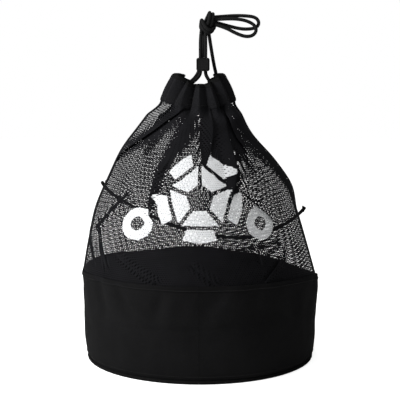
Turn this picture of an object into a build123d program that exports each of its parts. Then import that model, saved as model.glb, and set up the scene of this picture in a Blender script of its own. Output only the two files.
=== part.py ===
from build123d import *
import os
from math import cos, pi, radians, sin, tan

# Mesh ball bag: a drum-shaped woven base, two net panels that taper to a gathered
# drawcord collar, and a closed drawcord pulled up through a two-hole cord lock and
# knotted.  Millimetres, +Z up, origin at the middle of the underside.

# ---- woven base -------------------------------------------------------------
rim_radius = 201.0            # outside of the wall where the net begins
wall_height = 155.0           # floor to the rim seam
foot_radius = 192.5           # outside of the wall just above the bottom seam
belly_radius = 197.5          # outside of the wall half way up
wall_thickness = 2.5          # coated woven fabric with its backing
panel_thickness = 3.0         # round bottom panel
binding_width = 5.0           # tape round the bottom seam, measured across
binding_height = 6.0
rim_tape_width = 14.0         # tape inside the rim seam, measured up the wall
rim_tape_thickness = 1.6

# ---- net body ---------------------------------------------------------------
mouth_radius = 66.0           # outside of the net where it meets the collar
mouth_height = 437.0          # floor to the collar seam
net_thickness = 1.2
shoulder_inset = 15.0         # how far the net has come in, one shoulder rise up
shoulder_rise = 54.0
middle_inset = 36.0
middle_rise = 121.0
neck_flare = 73.0             # how much wider the net is, one neck drop down
neck_drop = 108.0
throat_flare = 29.0
throat_drop = 50.0
seam_width = 8.0              # taped side seams, where the two panels join
seam_thickness = 2.4

# ---- collar -----------------------------------------------------------------
collar_clearance = 0.8        # between the collar's foot and the net panels
collar_tuck = 3.0             # how far the collar's foot is tucked into the net
seam_dip_depth = 15.0         # the collar seam dips to the front and back
seam_dip_margin = 4.0         # width at each side that the dip leaves level
collar_rise = 41.0            # collar seam to the highest point of the hem
collar_gather = 20.0          # how far the collar comes in between its seam and its hem
hem_depth = 8.0               # from the outside of the hem in to the gathered mouth
dip_extra = 7.0               # how much the curve of the hem's dip is wider than the hem
dip_depth = 18.0
hem_width = 3.5
tape_height = 9.0             # tape over the collar seam
tape_thickness = 1.4

# ---- drawcord ---------------------------------------------------------------
cord_diameter = 6.0
cord_clearance = 0.4
channel_rise = 14.0           # collar seam to the cord inside the collar
strand_gap = 0.8              # between the two strands at each exit
exit_elbow = 6.0              # bend from the channel into the exit
exit_elbow_share = 0.94       # share of the remaining run that the next bend takes up
ring_bend_share = 0.98        # bends inside the channel, against its radius
exit_inset = 5.0              # where the loose strands begin, in from the gathered mouth
rear_top_x = 13.5             # top of the right rear strand, in the knot
rear_gap = 0.5                # between the two rear strands there
exit_room = 1.0               # round the two strands, in the buttonhole they share
arc_share = 0.45              # share of a run that a bend may take up

# ---- knot -------------------------------------------------------------------
knot_centre = (12.5, 4.0, 125.0)   # heights of the knot, lock and strands are from the collar seam
knot_size = (31.0, 26.0, 42.0)
knot_rounding = 8.0

# ---- cord lock --------------------------------------------------------------
lock_centre_x = 5.0
lock_cord_y = -4.0            # plane of the two strands in the lock
lock_rise = 44.5
lock_side = 3.4               # barrel outside the strands, at the left and the right
lock_height = 22.0
lock_wall = 2.0
lock_front = 9.0              # barrel in front of the strands
lock_back = 13.0              # barrel behind the strands
lock_web = 2.4                # between the two strands in the lock
plunger_gap = 0.3
plunger_proud = 5.0           # button standing out of the barrel
plunger_travel = 3.5
plunger_back_wall = 1.5
spring_wire = 0.7
spring_radius = 5.0
spring_turns = 3

# ---- carry cord across the back ---------------------------------------------
tab_size = (12.0, 12.5, 16.0)
tab_height_left = 294.0
tab_height_right = 250.0
tab_bite = 2.0                # how far a tab is sewn into the side seam
tab_front = -6.0

cord_radius = cord_diameter / 2
collar_top_radius = mouth_radius - collar_gather
collar_bore = collar_top_radius - hem_depth
dip_radius = collar_top_radius + dip_extra
channel_radius = collar_top_radius
exit_x = collar_bore - exit_inset
channel_height = mouth_height + channel_rise
exit_y = (cord_diameter + strand_gap) / 2
exit_bore = exit_y + cord_radius + exit_room
lock_hole_spacing = cord_diameter + lock_web
lock_hole_radius = cord_radius + cord_clearance
lock_width = lock_hole_spacing + 2 * lock_hole_radius + 2 * lock_side
lock_bottom = mouth_height + lock_rise
lock_left_x = lock_centre_x - lock_hole_spacing / 2
lock_right_x = lock_centre_x + lock_hole_spacing / 2
dip_top = mouth_height + collar_rise
dip_axis_height = dip_top - dip_depth + dip_radius
seam_dip_radius = ((mouth_radius - seam_dip_margin)**2 + seam_dip_depth**2) / (2 * seam_dip_depth)
seam_axis_height = mouth_height - seam_dip_depth + seam_dip_radius
net_inside = mouth_radius - (seam_thickness + net_thickness) / 2
collar_foot = mouth_height - seam_dip_depth - collar_tuck
collar_foot_radius = net_inside - collar_clearance - tape_thickness
collar_slope = (collar_foot_radius - collar_top_radius) / (collar_rise + collar_tuck)


def from_mouth(points):
    """Points whose heights are given from the collar seam."""
    return [(x, y, mouth_height + z) for x, y, z in points]


# Routes of the cords, chosen point by point.
strand_left_front_route = from_mouth([
    (-exit_x, -exit_y, channel_rise), (-15, lock_cord_y, 23), (lock_left_x, lock_cord_y, 37.5),
    (lock_left_x + 0.2, lock_cord_y, 50), (lock_left_x - 0.1, lock_cord_y, 75),
    (lock_left_x, lock_cord_y, 102), (lock_left_x + 2.5, -2, 119),
])
strand_left_rear_route = from_mouth([
    (-exit_x, exit_y, channel_rise), (-19, 9, 24), (-3, 13.5, 39), (5, 13.5, 69),
    (rear_top_x - cord_diameter - rear_gap, 12, 116),
])
strand_right_front_route = from_mouth([
    (exit_x, -exit_y, channel_rise), (20, lock_cord_y, 23), (lock_right_x, lock_cord_y, 37.5),
    (lock_right_x - 0.2, lock_cord_y, 50), (lock_right_x + 0.1, lock_cord_y, 75),
    (lock_right_x, lock_cord_y, 116),
])
strand_right_rear_route = from_mouth([
    (exit_x, exit_y, channel_rise), (28.5, 10, 33), (21, 13.5, 66), (rear_top_x, 12, 116),
])
tail_loop_upper_route = from_mouth([
    (24, 6, 134), (54, 6, 136.5), (78, 5, 136), (93, 5, 133.5), (98.5, 5, 125.5), (96, 5, 118),
    (87, 6, 114.5), (70, 6, 114), (50, 7, 118.5), (24, 8, 126),
])
tail_loop_lower_route = from_mouth([
    (24, -2, 129.5), (46, -3, 131), (66, -3, 130), (80, -3, 126.5), (91, -3, 120), (94, -3, 111),
    (88, -3, 103), (76, -4, 101), (60, -4, 106.5), (42, -4, 116.5), (24, -4, 121.5),
])


def outside_net(points):
    """Points of a cord's line, from where its near side passes behind the net."""
    spread = []
    for x, y, z in points:
        reach = (x**2 + y**2) ** 0.5
        spread.append((x * (1 + cord_radius / reach), y * (1 + cord_radius / reach), z))
    return spread


carry_cord_route = outside_net([
    (-163, 9.8, 294), (-160.2, 54.0, 276), (-137.7, 116.1, 250), (-95.5, 163.4, 218), (-41.4, 193.1, 190),
    (14.8, 201.0, 174), (71.0, 190.2, 169), (117.2, 160.6, 182), (153.6, 113.2, 208), (172.2, 60.0, 234),
    (175, 9.8, 250),
])


def bend_radii(route):
    """Radius of each bend: as large as its two runs allow."""
    radii = []
    for before, corner, after in zip(route, route[1:], route[2:]):
        run_in = Vector(*corner) - Vector(*before)
        run_out = Vector(*after) - Vector(*corner)
        half_turn = radians(run_in.get_angle(run_out)) / 2
        radii.append(arc_share * min(run_in.length, run_out.length) / tan(half_turn))
    return radii


def cord_tube(name, route, radii=None):
    """A round cord along straight runs joined by tangent arcs."""
    radii = radii or bend_radii(route)
    with BuildPart() as cord:
        with BuildLine() as centreline:
            FilletPolyline(*route, radius=radii)
        path = centreline.wire()
        with BuildSketch(Plane(origin=path @ 0, z_dir=path % 0)):
            Circle(cord_radius)
        sweep(path=path)
    expected = path.length * pi * cord_radius**2
    print(
        f"{name}: length {path.length:.1f}, radii {[round(r, 1) for r in radii]}, "
        f"volume ratio {cord.part.volume / expected:.4f}"
    )
    return cord.part


def wall_outline(inward):
    """Points up the base wall, moved inward by the given distance."""
    return [
        (foot_radius - inward, binding_height),
        (belly_radius - inward, wall_height / 2),
        (rim_radius - inward, wall_height),
    ]


def wall_shell(outer, inner):
    """Closed shell of the base wall between two depths below its outside."""
    with BuildPart() as shell:
        with BuildSketch(Plane.XZ):
            with BuildLine():
                outside = Spline(*wall_outline(outer))
                inside = Spline(*wall_outline(inner))
                Line(outside @ 0, inside @ 0)
                Line(outside @ 1, inside @ 1)
            make_face()
        revolve(axis=Axis.Z)
    return shell.part


def net_outline(outward):
    """Points up the net panel, moved outward by the given distance."""
    return [
        (rim_radius + outward, wall_height),
        (rim_radius - shoulder_inset + outward, wall_height + shoulder_rise),
        (rim_radius - middle_inset + outward, wall_height + middle_rise),
        (mouth_radius + neck_flare + outward, mouth_height - neck_drop),
        (mouth_radius + throat_flare + outward, mouth_height - throat_drop),
        (mouth_radius + outward, mouth_height),
    ]


def net_shell(outer, inner):
    """Closed shell of the whole net body between two offsets of its outline."""
    with BuildPart() as shell:
        with BuildSketch(Plane.XZ):
            with BuildLine():
                outside = Spline(*net_outline(outer))
                inside = Spline(*net_outline(inner))
                Line(outside @ 0, inside @ 0)
                Line(outside @ 1, inside @ 1)
            make_face()
        revolve(axis=Axis.Z)
    return shell.part


def net_radius_at(height):
    """Outside radius of the net at a height, found on its outline."""
    with BuildLine() as line:
        Spline(*net_outline(0))
    low, high = 0.0, 1.0
    for _ in range(30):
        middle = (low + high) / 2
        if (line.line @ middle).Y < height:
            low = middle
        else:
            high = middle
    return (line.line @ low).X


def dip_cutter(radius, axis_height):
    """Cylinder lying front to back, which shapes the collar's seam and hem."""
    with BuildPart() as cutter:
        with BuildSketch(Plane.XZ.offset(-2 * mouth_radius)):
            with Locations((0, axis_height)):
                Circle(radius)
        extrude(amount=4 * mouth_radius)
    return cutter.part


def ring(inner_radius, outer_radius, bottom, top):
    """Plain ring, square in section."""
    with BuildPart() as band:
        with BuildSketch(Plane.XY.offset(bottom)):
            Circle(outer_radius)
            Circle(inner_radius, mode=Mode.SUBTRACT)
        extrude(amount=top - bottom)
    return band.part


os.makedirs("parts", exist_ok=True)


def save(part, name):
    part.label = name
    export_step(part, f"parts/{name}.step")


# ---- base -------------------------------------------------------------------
binding_inner = foot_radius - binding_width

with BuildPart() as base_panel:
    with BuildSketch():
        Circle(binding_inner)
    extrude(amount=panel_thickness)

with BuildPart() as bottom_binding:
    add(ring(binding_inner, foot_radius, 0, binding_height))
    fillet(bottom_binding.edges().group_by(Axis.Z)[0].sort_by(SortBy.LENGTH)[-1], binding_width / 3)

with BuildPart() as base_wall:
    add(wall_shell(0, wall_thickness))

# The rim tape lies flat on the inside of the wall, just below the seam.
with BuildPart() as rim_seam_tape:
    add(wall_shell(wall_thickness, wall_thickness + rim_tape_thickness))
    with Locations((0, 0, wall_height - rim_tape_width)):
        Cylinder(2 * rim_radius, wall_height, align=(Align.CENTER, Align.CENTER, Align.MIN),
                 mode=Mode.INTERSECT)

# ---- net panels and side seams ----------------------------------------------
seam_reach = 4 * rim_radius
side_gap = seam_width / 2

with BuildPart() as mesh_front:
    add(net_shell(0, -net_thickness))
    with Locations((0, -side_gap, 0)):
        Box(seam_reach, seam_reach, seam_reach, align=(Align.CENTER, Align.MAX, Align.MIN),
            mode=Mode.INTERSECT)
    add(dip_cutter(seam_dip_radius, seam_axis_height), mode=Mode.SUBTRACT)

with BuildPart() as mesh_back:
    add(mesh_front.part)
    mirror(about=Plane.XZ, mode=Mode.REPLACE)

with BuildPart() as seam_hoop:
    add(net_shell((seam_thickness - net_thickness) / 2, -(seam_thickness + net_thickness) / 2))
    Box(seam_reach, seam_width, seam_reach, align=(Align.CENTER, Align.CENTER, Align.MIN),
        mode=Mode.INTERSECT)
    add(dip_cutter(seam_dip_radius, seam_axis_height), mode=Mode.SUBTRACT)

with BuildPart() as side_seam_left:
    add(seam_hoop.part)
    split(bisect_by=Plane.YZ, keep=Keep.BOTTOM)

with BuildPart() as side_seam_right:
    add(seam_hoop.part)
    split(bisect_by=Plane.YZ, keep=Keep.TOP)

# ---- collar -----------------------------------------------------------------
ring_step = 45.0
ring_corner = channel_radius / cos(radians(ring_step / 2))
ring_angles = [180 + ring_step * (index + 0.5) for index in range(4)]
ring_half_side = channel_radius * tan(radians(ring_step / 2))
exit_run = exit_elbow_share * (ring_half_side - exit_y - exit_elbow)
exit_run_elbow = exit_run / tan(radians(ring_step / 2))
channel_front_route = [
    (-collar_bore - cord_clearance, -exit_y, channel_height),
    (-channel_radius, -exit_y, channel_height),
    *[(ring_corner * cos(radians(a)), ring_corner * sin(radians(a)), channel_height) for a in ring_angles],
    (channel_radius, -exit_y, channel_height),
    (collar_bore + cord_clearance, -exit_y, channel_height),
]
ring_bend = ring_bend_share * channel_radius
channel_radii = [exit_elbow, exit_run_elbow, ring_bend, ring_bend, exit_run_elbow, exit_elbow]


def collar_radius_at(height):
    """Outside of the collar, which tapers in a straight line."""
    return collar_foot_radius - collar_slope * (height - (mouth_height - collar_tuck))


def collar_blank():
    """Gathered collar before its seam and hem are cut to their curves."""
    with BuildPart() as blank:
        with BuildSketch(Plane.XZ):
            with BuildLine():
                Polyline(
                    (collar_bore, collar_foot),
                    (collar_radius_at(collar_foot), collar_foot),
                    (collar_top_radius, dip_top),
                    (collar_bore, dip_top),
                    close=True,
                )
            make_face()
        revolve(axis=Axis.Z)
    return blank.part


def channel_bore():
    """Space for the front half of the cord inside the casing."""
    with BuildPart() as bore:
        with BuildLine() as centreline:
            FilletPolyline(*channel_front_route, radius=channel_radii)
        path = centreline.wire()
        with BuildSketch(Plane(origin=path @ 0, z_dir=path % 0)):
            Circle(cord_radius + cord_clearance)
        sweep(path=path)
    return bore.part


with BuildPart() as collar_casing:
    add(collar_blank())
    add(dip_cutter(seam_dip_radius + collar_tuck, seam_axis_height), mode=Mode.INTERSECT)
    add(dip_cutter(dip_radius + hem_width, dip_axis_height), mode=Mode.SUBTRACT)
    add(channel_bore(), mode=Mode.SUBTRACT)
    add(channel_bore().mirror(Plane.XZ), mode=Mode.SUBTRACT)
    with Locations((0, 0, channel_height)):
        Cylinder(exit_bore, 2 * (channel_radius + cord_radius), rotation=(0, 90, 0), mode=Mode.SUBTRACT)

with BuildPart() as collar_hem:
    add(collar_blank())
    add(dip_cutter(dip_radius + hem_width, dip_axis_height), mode=Mode.INTERSECT)
    add(dip_cutter(dip_radius, dip_axis_height), mode=Mode.SUBTRACT)

tape_top = collar_foot + 2 * seam_dip_depth
with BuildPart() as collar_seam_tape:
    with BuildSketch(Plane.XZ):
        with BuildLine():
            Polyline(
                (collar_radius_at(collar_foot), collar_foot),
                (collar_radius_at(collar_foot) + tape_thickness, collar_foot),
                (collar_radius_at(tape_top) + tape_thickness, tape_top),
                (collar_radius_at(tape_top), tape_top),
                close=True,
            )
        make_face()
    revolve(axis=Axis.Z)
    add(dip_cutter(seam_dip_radius + collar_tuck, seam_axis_height), mode=Mode.INTERSECT)
    add(dip_cutter(seam_dip_radius + collar_tuck - tape_height, seam_axis_height), mode=Mode.SUBTRACT)

# ---- drawcord ---------------------------------------------------------------
drawcord_front = cord_tube("drawcord_front", channel_front_route, channel_radii)
drawcord_back = drawcord_front.mirror(Plane.XZ)
strand_left_front = cord_tube("strand_left_front", strand_left_front_route)
strand_left_rear = cord_tube("strand_left_rear", strand_left_rear_route)
strand_right_front = cord_tube("strand_right_front", strand_right_front_route)
strand_right_rear = cord_tube("strand_right_rear", strand_right_rear_route)
tail_loop_upper = cord_tube("tail_loop_upper", tail_loop_upper_route)
tail_loop_lower = cord_tube("tail_loop_lower", tail_loop_lower_route)

with BuildPart() as knot:
    with Locations(*from_mouth([knot_centre])):
        Box(*knot_size)
    fillet(knot.edges(), knot_rounding)

# ---- cord lock --------------------------------------------------------------
lock_middle = lock_bottom + lock_height / 2
barrel_front = lock_cord_y - lock_front
barrel_back = lock_cord_y + lock_back
cavity_floor = barrel_back - lock_wall
hole_places = [(lock_left_x, lock_cord_y), (lock_right_x, lock_cord_y)]
cavity_width = lock_width - 2 * lock_wall
cavity_height = lock_height - 2 * lock_wall

with BuildPart() as lock_barrel:
    with BuildSketch(Plane.XZ.offset(-barrel_front)):
        with Locations((lock_centre_x, lock_middle)):
            RectangleRounded(lock_width, lock_height, 3.5)
    extrude(amount=barrel_front - barrel_back)
    with BuildSketch(Plane.XZ.offset(-barrel_front)):
        with Locations((lock_centre_x, lock_middle)):
            RectangleRounded(cavity_width, cavity_height, 2)
    extrude(amount=barrel_front - cavity_floor, mode=Mode.SUBTRACT)
    with BuildSketch(Plane.XY.offset(lock_bottom)):
        with Locations(*hole_places):
            Circle(lock_hole_radius)
    extrude(amount=lock_height, mode=Mode.SUBTRACT)

# The strands pass through slots in the plunger, long enough for its travel.
plunger_front = barrel_front - plunger_proud
slot_front = lock_cord_y - lock_hole_radius - plunger_travel
slot_back = lock_cord_y + lock_hole_radius
plunger_back = slot_back + plunger_back_wall
plunger_width = cavity_width - 2 * plunger_gap
plunger_height = cavity_height - 2 * plunger_gap

with BuildPart() as lock_plunger:
    with BuildSketch(Plane.XZ.offset(-plunger_front)):
        with Locations((lock_centre_x, lock_middle)):
            RectangleRounded(plunger_width, plunger_height, 1.7)
    extrude(amount=plunger_front - plunger_back)
    with BuildSketch(Plane.XY.offset(lock_bottom)):
        with Locations(*[(x, (slot_front + slot_back) / 2) for x, _ in hole_places]):
            Rectangle(2 * lock_hole_radius, slot_back - slot_front)
    extrude(amount=lock_height, mode=Mode.SUBTRACT)

spring_gap = cavity_floor - plunger_back
spring_pitch = (spring_gap - 2 * spring_wire) / spring_turns
with BuildPart() as lock_spring:
    with BuildLine() as coil:
        Helix(
            spring_pitch,
            spring_gap - 2 * spring_wire,
            spring_radius,
            center=(lock_centre_x, plunger_back + spring_wire, lock_middle),
            direction=(0, 1, 0),
        )
    with BuildSketch(Plane(origin=coil.wire() @ 0, z_dir=coil.wire() % 0)):
        Circle(spring_wire / 2)
    sweep(path=coil.wire(), is_frenet=True)

# ---- carry cord -------------------------------------------------------------
carry_cord = cord_tube("carry_cord", carry_cord_route)


def carry_tab(side, height):
    """Folded webbing tab sewn over a side seam, where the carry cord ends."""
    inner = net_radius_at(height) + seam_thickness / 2 - tab_bite
    with BuildPart() as tab:
        with Locations((side * (inner + tab_size[0] / 2), tab_front + tab_size[1] / 2, height)):
            Box(*tab_size)
        fillet(tab.edges().filter_by(Axis.Y), 2)
    return tab.part


save(base_panel.part, "base_panel")
save(bottom_binding.part, "bottom_binding")
save(base_wall.part, "base_wall")
save(rim_seam_tape.part, "rim_seam_tape")
save(mesh_front.part, "mesh_front")
save(mesh_back.part, "mesh_back")
save(side_seam_left.part, "side_seam_left")
save(side_seam_right.part, "side_seam_right")
save(collar_casing.part, "collar_casing")
save(collar_hem.part, "collar_hem")
save(collar_seam_tape.part, "collar_seam_tape")
save(drawcord_front, "drawcord_front")
save(drawcord_back, "drawcord_back")
save(strand_left_front, "strand_left_front")
save(strand_left_rear, "strand_left_rear")
save(strand_right_front, "strand_right_front")
save(strand_right_rear, "strand_right_rear")
save(knot.part, "knot")
save(tail_loop_upper, "tail_loop_upper")
save(tail_loop_lower, "tail_loop_lower")
save(lock_barrel.part, "lock_barrel")
save(lock_plunger.part, "lock_plunger")
save(lock_spring.part, "lock_spring")
save(carry_cord, "carry_cord")
save(carry_tab(-1, tab_height_left), "carry_tab_left")
save(carry_tab(1, tab_height_right), "carry_tab_right")
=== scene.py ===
import math

import bpy
import numpy as np
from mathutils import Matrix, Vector, noise


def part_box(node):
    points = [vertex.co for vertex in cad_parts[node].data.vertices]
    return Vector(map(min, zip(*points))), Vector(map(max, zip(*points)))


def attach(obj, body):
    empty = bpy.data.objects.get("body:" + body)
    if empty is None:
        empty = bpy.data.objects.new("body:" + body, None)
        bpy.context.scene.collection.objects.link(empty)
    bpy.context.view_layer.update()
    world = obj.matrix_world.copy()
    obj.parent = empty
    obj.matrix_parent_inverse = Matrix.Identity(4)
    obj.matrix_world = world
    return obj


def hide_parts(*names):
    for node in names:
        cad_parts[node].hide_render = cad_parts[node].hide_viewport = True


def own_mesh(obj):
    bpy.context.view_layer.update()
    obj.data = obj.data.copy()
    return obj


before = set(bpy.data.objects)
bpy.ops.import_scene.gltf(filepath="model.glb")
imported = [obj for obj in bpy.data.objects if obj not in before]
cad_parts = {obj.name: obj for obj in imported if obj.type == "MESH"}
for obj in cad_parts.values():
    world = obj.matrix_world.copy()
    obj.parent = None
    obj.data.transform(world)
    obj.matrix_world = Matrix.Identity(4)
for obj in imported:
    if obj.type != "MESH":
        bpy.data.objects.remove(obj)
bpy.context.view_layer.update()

# Heights and radii taken from the frame.
WALL_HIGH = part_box("base_wall")[1]
HEM_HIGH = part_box("collar_hem")[1].z
SEAM_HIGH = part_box("side_seam_left")[1].z
FOOT_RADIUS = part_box("bottom_binding")[1].x
RIM_RADIUS = WALL_HIGH.x
RIM_HEIGHT = WALL_HIGH.z
SEAM_DIP = 0.015
HEM_DIP = 0.018
CORD_DIAMETER = 0.006


# ---- small tools
def smooth_step(low, high, value):
    share = np.clip((value - low) / (high - low), 0, 1)
    return share * share * (3 - 2 * share)


def turn_between(angle, centre):
    """Signed angle from centre to angle, from -pi to pi."""
    return (angle - centre + math.pi) % (2 * math.pi) - math.pi


def soft_curve(points, value):
    """Smooth curve through (place, size) points, without overshoot."""
    places = np.array([p[0] for p in points], float)
    sizes = np.array([p[1] for p in points], float)
    slopes = np.gradient(sizes, places)
    value = np.clip(value, places[0], places[-1])
    index = np.clip(np.searchsorted(places, value, side="right") - 1, 0, len(places) - 2)
    gap = places[index + 1] - places[index]
    t = (value - places[index]) / gap
    start, end = sizes[index], sizes[index + 1]
    start_slope, end_slope = slopes[index] * gap, slopes[index + 1] * gap
    return (
        (2 * t**3 - 3 * t**2 + 1) * start
        + (t**3 - 2 * t**2 + t) * start_slope
        + (3 * t**2 - 2 * t**3) * end
        + (t**3 - t**2) * end_slope
    )


def make_piece(name, points, faces, uvs=None, materials=(), face_materials=None, smooth=True):
    mesh = bpy.data.meshes.new(name)
    mesh.from_pydata([tuple(p) for p in points], [], [tuple(f) for f in faces])
    if uvs is not None:
        layer = mesh.uv_layers.new(name="cloth")
        corners = np.empty(len(mesh.loops), dtype=np.int32)
        mesh.loops.foreach_get("vertex_index", corners)
        layer.data.foreach_set("uv", np.asarray(uvs, dtype=np.float32)[corners].ravel())
    for material in materials:
        mesh.materials.append(material)
    if face_materials is not None:
        mesh.polygons.foreach_set("material_index", np.asarray(face_materials, dtype=np.int32))
    mesh.polygons.foreach_set("use_smooth", [smooth] * len(mesh.polygons))
    mesh.update()
    piece = bpy.data.objects.new(name, mesh)
    bpy.context.collection.objects.link(piece)
    return piece


def grid_faces(columns, rows, wrap):
    """Quads of a grid stored row by row."""
    faces = []
    across = columns if wrap else columns - 1
    for row in range(rows - 1):
        for column in range(across):
            after = (column + 1) % columns
            faces.append((
                row * columns + column, row * columns + after,
                (row + 1) * columns + after, (row + 1) * columns + column,
            ))
    return faces


def closing_faces(columns, rows):
    """Quads that join the last row of a grid to its first."""
    last = (rows - 1) * columns
    after = [(column + 1) % columns for column in range(columns)]
    return [(last + column, last + after[column], after[column], column) for column in range(columns)]


def thicken(piece, thickness):
    """Gives cloth its thickness, inward from the surface."""
    solid = piece.modifiers.new("cloth thickness", "SOLIDIFY")
    solid.thickness = thickness
    solid.offset = -1.0


# ---- shape of the bag
# Angles are measured round the bag from the middle of the front, in radians,
# growing to the right. A rise is a share of the way from rim to collar seam.
LEFT_SIDE = (
    (0.0, 0.1985), (0.188, 0.1895), (0.38, 0.1765), (0.57, 0.151), (0.713, 0.1295), (0.858, 0.0975),
    (1.0, 0.067),
)
RIGHT_SIDE = (
    (0.0, 0.1975), (0.188, 0.180), (0.38, 0.1625), (0.525, 0.149), (0.667, 0.121), (0.809, 0.0845),
    (1.0, 0.0605),
)
# Where the wall has slumped: middle angle in degrees, spread in degrees, depth.
SLUMPS = ((112, 38, 0.023), (-90, 22, 0.006), (-150, 18, 0.005), (160, 12, 0.004))


def rim_height(angle):
    height = RIM_HEIGHT + 0.0 * angle
    for middle, spread, depth in SLUMPS:
        off = turn_between(angle, math.radians(middle)) / math.radians(spread)
        height = height - depth * np.exp(-(off ** 2))
    return height


def seam_height(angle):
    return SEAM_HIGH - 0.002 - SEAM_DIP * np.cos(angle) ** 2


def hem_height(angle):
    profile = ((0.0, 0.0), (0.32, 0.03), (0.6, 0.42), (0.86, 0.93), (1.0, 1.0))
    rise = soft_curve(profile, np.abs(np.sin(angle)))
    return HEM_HIGH - HEM_DIP * (1 - rise)


def net_radius(angle, rise):
    right_share = (1 + np.sin(angle)) / 2
    return soft_curve(LEFT_SIDE, rise) * (1 - right_share) + soft_curve(RIGHT_SIDE, rise) * right_share


# Pleats of the gathered collar: degrees of each crease at the hem and at the seam,
# and its depth.
CREASES = (
    (-37, -48, 0.015), (-14, -16, 0.018), (11, 13, 0.013), (34, 39, 0.017), (58, 63, 0.010),
    (84, 88, 0.010),
    (111, 114, 0.014), (138, 139, 0.012), (163, 164, 0.015), (187, 186, 0.011), (212, 210, 0.014),
    (238, 236, 0.012), (264, 262, 0.010), (292, 287, 0.010),
)
PLEAT_HALF = math.radians(13)


def crease_share(angle, climb):
    """How near a place on the collar is to a crease, with the crease's depth."""
    depth = np.zeros(np.shape(angle))
    for at_hem, at_seam, full in CREASES:
        crease = math.radians(at_seam) * (1 - climb) + math.radians(at_hem) * climb
        off = np.clip(np.abs(turn_between(angle, crease)) / PLEAT_HALF, 0, 1)
        depth = np.maximum(depth, full * (1 - off**0.75))
    return depth


def collar_radius(angle, climb):
    """Outside of the collar; climb is 0 at the seam and 1 at the hem."""
    right_share = (1 + np.sin(angle)) / 2
    seam_radius = 0.0670 * (1 - right_share) + 0.0620 * right_share
    hem_radius = 0.0465 * (1 - right_share) + 0.0420 * right_share
    radius = seam_radius * (1 - climb) + hem_radius * climb + 0.0020 * np.sin(math.pi * climb)
    return radius - crease_share(angle, climb) * (0.72 + 0.10 * climb)


class Fold:
    """A pleat of net that hangs from the collar and dies out on its way down.

    way is (rise, degrees) points from its foot up to the collar, width how broad the
    overlap is at the foot and at the collar, depth how far its layers stand apart."""

    def __init__(self, way, width, depth=0.004, lean=1):
        self.way = way
        self.width = width
        self.depth = depth
        self.lean = lean

    def shift(self, angle, rise, radius):
        rises = [w[0] for w in self.way]
        centre = np.radians(np.interp(rise, rises, [w[1] for w in self.way]))
        broad = np.interp(rise, (rises[0], 1.0), self.width)
        reach = broad / 1.1 / radius
        t = np.clip(turn_between(angle, centre) / reach, -1, 1)
        strength = smooth_step(rises[0], rises[0] + 0.22, rise)
        wave = np.sin(math.pi * t) * strength
        return -reach * wave, -self.lean * self.depth * wave


FRONT_FOLDS = (
    Fold(((0.56, -84), (0.69, -74), (1.0, -32)), (0.020, 0.022), 0.005),
    Fold(((0.30, -28.5), (0.64, -27), (0.82, -17), (1.0, -8)), (0.010, 0.018), 0.004, -1),
    Fold(((0.66, 9), (1.0, 10)), (0.012, 0.016), 0.005),
    Fold(((0.44, 19), (0.75, 25), (1.0, 27)), (0.014, 0.018), 0.005),
    Fold(((0.60, 44), (0.76, 46), (1.0, 44)), (0.018, 0.016), 0.004, -1),
    Fold(((0.34, 83), (0.60, 73), (0.80, 66), (1.0, 58)), (0.022, 0.018), 0.005),
)
BACK_FOLDS = (
    Fold(((0.34, 174), (1.0, 177)), (0.018, 0.016), 0.005),
    Fold(((0.30, 164), (1.0, 165)), (0.020, 0.014), 0.005, -1),
    Fold(((0.38, 154), (1.0, 153)), (0.022, 0.015), 0.005),
    Fold(((0.50, 142), (1.0, 140)), (0.014, 0.014), 0.004, -1),
    Fold(((0.66, 118), (1.0, 124)), (0.016, 0.016), 0.005),
    Fold(((0.74, 196), (1.0, 192)), (0.012, 0.014), 0.004),
    Fold(((0.70, 222), (1.0, 207)), (0.012, 0.014), 0.004, -1),
    Fold(((0.62, 238), (1.0, 222)), (0.014, 0.016), 0.005),
)
# Where the gathered net is bunched tight: (rise, degrees, half its width in degrees).
FRONT_BUNCHES = (
    ((0.60, -88, 6), (0.66, -80, 10), (0.74, -66, 15), (0.82, -52, 14), (0.90, -36, 16),
     (1.0, -33, 13)),
    ((0.38, -29, 1.5), (0.45, -28.7, 2), (0.64, -27.5, 4.2), (0.76, -21, 8), (0.84, -15, 12), (1.0, -11, 14)),
    ((0.66, 9, 1.5), (0.76, 10, 4), (0.88, 9, 6.5), (1.0, 7, 9)),
    ((0.42, 21, 2.5), (0.49, 19.5, 5), (0.60, 22, 5.5), (0.70, 23.5, 6.5), (0.80, 27, 9.5), (1.0, 28, 15)),
    ((0.34, 84, 4), (0.45, 79, 10), (0.58, 75, 14), (0.67, 72, 19), (0.76, 62, 29), (0.84, 56, 26),
     (0.92, 46, 17), (1.0, 44, 10)),
)
BACK_BUNCHES = (
    ((0.36, 172, 2), (0.70, 172, 5), (1.0, 174, 9)),
    ((0.40, 158, 2), (0.70, 158, 6), (1.0, 160, 10)),
    ((0.55, 140, 2), (0.80, 141, 6), (1.0, 142, 9)),
    ((0.62, 118, 3), (0.80, 123, 6), (1.0, 125, 8)),
    ((0.70, 200, 2), (1.0, 195, 9)),
    ((0.66, 226, 3), (0.80, 220, 6), (1.0, 215, 8)),
)
# Where the gathered net is pulled open beside the collar, given in the same way.
OPEN_PLACES = (
    ((0.80, -84, 12), (0.90, -78, 22), (1.0, -70, 26)),
    ((0.80, 88, 10), (0.90, 84, 18), (1.0, 80, 26)),
    ((0.80, 100, 12), (0.90, 104, 16), (1.0, 106, 18)),
    ((0.80, 262, 12), (0.90, 256, 18), (1.0, 254, 20)),
)
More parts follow.
